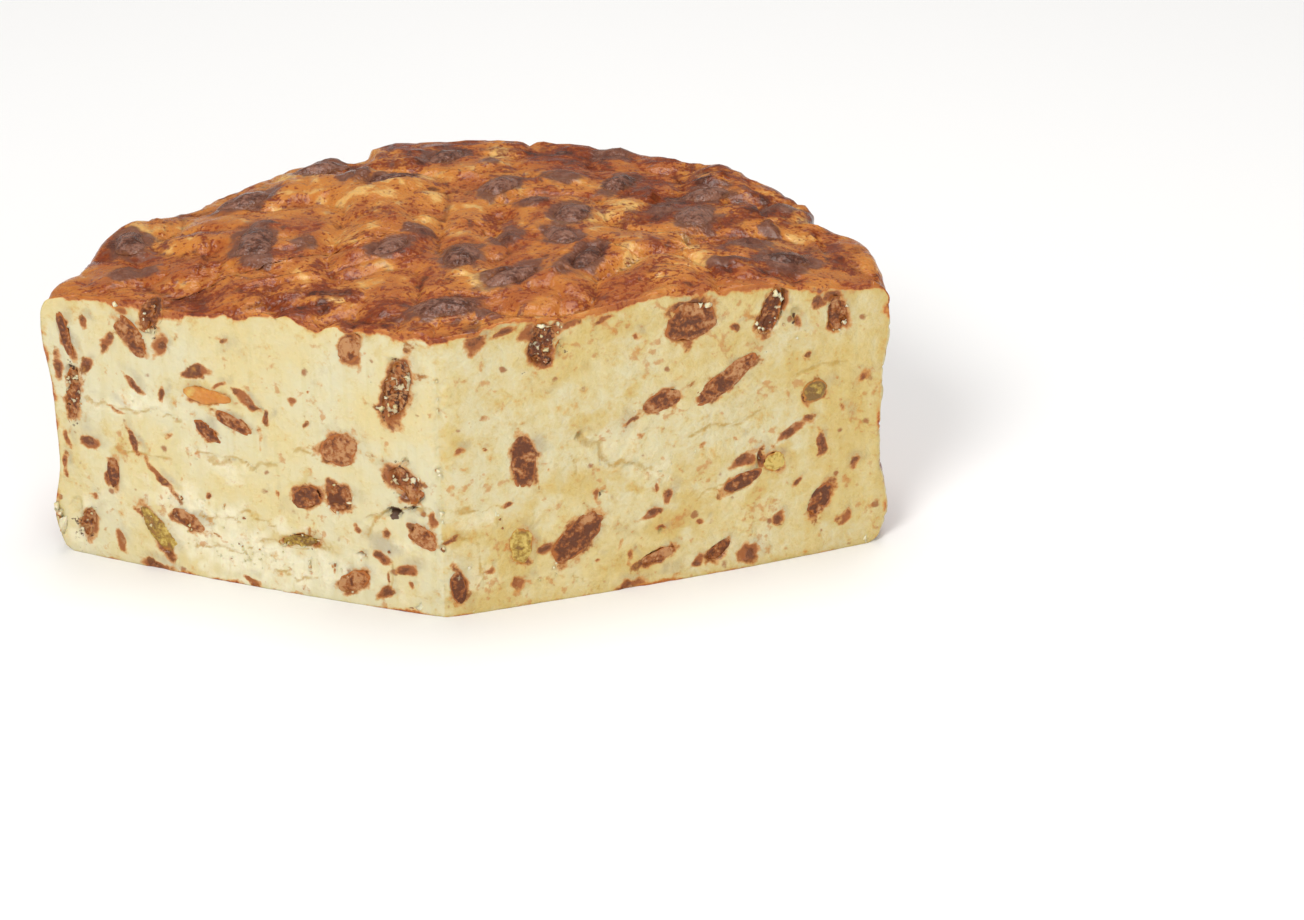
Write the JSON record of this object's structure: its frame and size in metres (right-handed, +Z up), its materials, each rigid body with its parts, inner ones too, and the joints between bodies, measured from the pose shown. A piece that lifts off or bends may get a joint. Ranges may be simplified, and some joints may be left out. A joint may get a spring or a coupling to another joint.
{
  "type": "part-cut baked cheese wheel with dried fruit",
  "caption": "Low round wheel of pressed, baked curd cheese with raisins, opened by two knife cuts that meet at a blunt corner, with a glossy wrinkled brown top.",
  "frame": {"origin": "on the axis of the whole wheel, on its flat base", "axes": "+Z up, the wheel's axis and its shortest extent; +X to the right along its longest extent; the two cut faces look towards -Y and the uncut rim towards +Y"},
  "size_m": [0.1922, 0.1235, 0.073],
  "materials": {
    "curd": "moist pale ivory curd on the cut faces, under a glossy caramel-brown baked skin",
    "raisin": "dark brown dried grape, wrinkled and slightly sticky",
    "sultana": "golden-olive dried grape, slightly translucent"
  },
  "bodies": {
    "root": {"cheese_wheel": "curd", "golden_sultana_left_09": "sultana", "golden_sultana_left_12": "sultana", "golden_sultana_left_19": "sultana", "golden_sultana_right_07": "sultana", "golden_sultana_right_10": "sultana", "golden_sultana_right_14": "sultana", "raisin_left_01": "raisin", "raisin_left_02": "raisin", "raisin_left_03": "raisin", "raisin_left_04": "raisin", "raisin_left_05": "raisin", "raisin_left_06": "raisin", "raisin_left_07": "raisin", "raisin_left_08": "raisin", "raisin_left_10": "raisin", "raisin_left_11": "raisin", "raisin_left_13": "raisin", "raisin_left_14": "raisin", "raisin_left_15": "raisin", "raisin_left_16": "raisin", "raisin_left_17": "raisin", "raisin_left_18": "raisin", "raisin_left_20": "raisin", "raisin_right_01": "raisin", "raisin_right_02": "raisin", "raisin_right_03": "raisin", "raisin_right_04": "raisin", "raisin_right_05": "raisin", "raisin_right_06": "raisin", "raisin_right_08": "raisin", "raisin_right_09": "raisin", "raisin_right_11": "raisin", "raisin_right_12": "raisin", "raisin_right_13": "raisin", "raisin_right_15": "raisin", "raisin_right_16": "raisin", "raisin_rim_01": "raisin", "raisin_rim_02": "raisin", "raisin_rim_03": "raisin", "raisin_rim_04": "raisin", "raisin_top_01": "raisin", "raisin_top_02": "raisin", "raisin_top_03": "raisin", "raisin_top_04": "raisin", "raisin_top_05": "raisin", "raisin_top_06": "raisin", "raisin_top_07": "raisin", "raisin_top_08": "raisin", "raisin_top_09": "raisin", "raisin_top_10": "raisin", "raisin_top_11": "raisin", "raisin_top_12": "raisin", "raisin_top_13": "raisin", "raisin_top_14": "raisin", "raisin_top_15": "raisin", "raisin_top_16": "raisin", "raisin_top_17": "raisin", "raisin_top_18": "raisin"}
  },
  "joints": []
}
